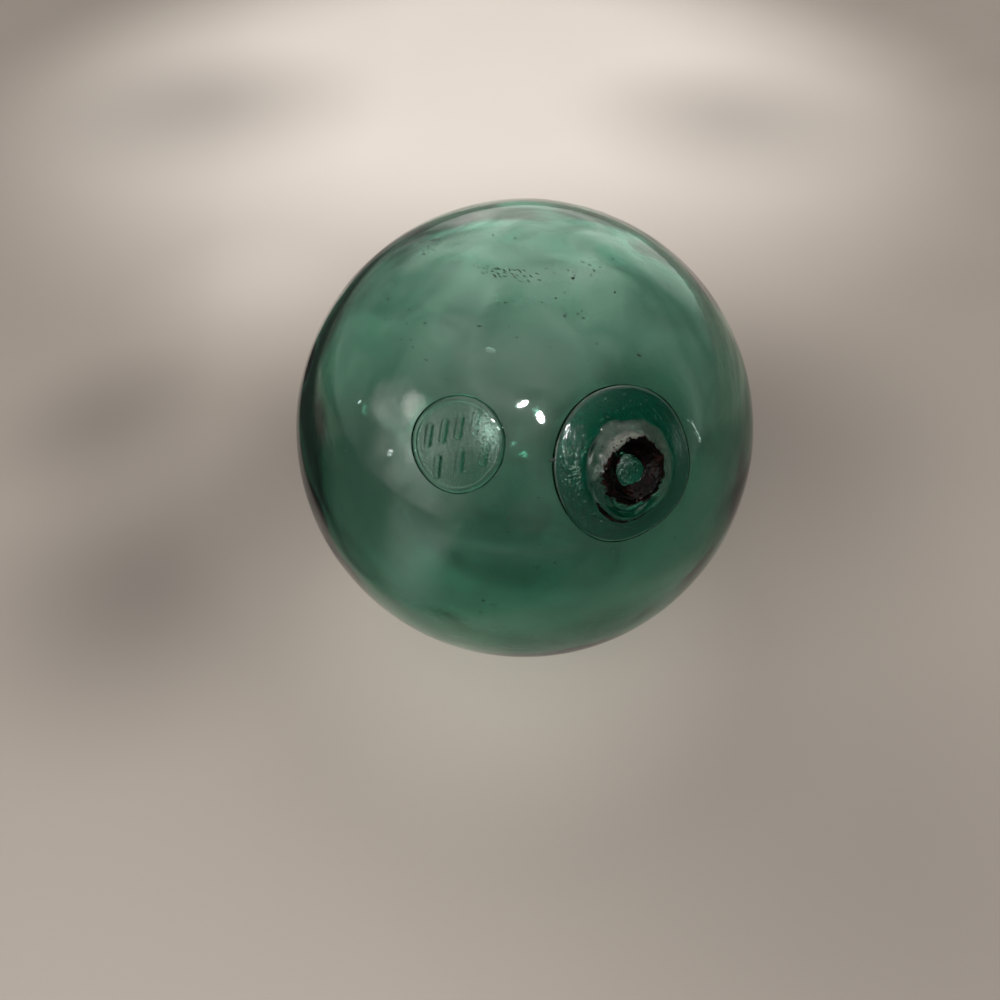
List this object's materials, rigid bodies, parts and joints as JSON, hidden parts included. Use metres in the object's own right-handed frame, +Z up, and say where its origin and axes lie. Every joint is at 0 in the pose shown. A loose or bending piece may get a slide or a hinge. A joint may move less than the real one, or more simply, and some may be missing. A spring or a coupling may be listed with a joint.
{
  "type": "glass float ball",
  "caption": "Sealed hollow ball of green blown glass with a large seal button, its broken-off boss and a small stamped button beside it; it lies on a small flat spot.",
  "frame": {"origin": "centre of the flat spot underneath, on the surface the ball rests on", "axes": "+Z up; the seal button and the mark button look towards -Y and up, the seal button to the +X side"},
  "size_m": [0.127, 0.127, 0.1266],
  "materials": {
    "blown_glass": "clear sea-green blown glass, glossy, with seeds and light wear",
    "seal_glass": "thick dark green pressed glass, glossy with a fine grain, rough and sooty at the broken crest",
    "mark_glass": "green pressed glass with a fine sparkling grain"
  },
  "bodies": {
    "root": {"globe": "blown_glass", "seal_button": "seal_glass", "mark_button": "mark_glass"}
  },
  "joints": []
}
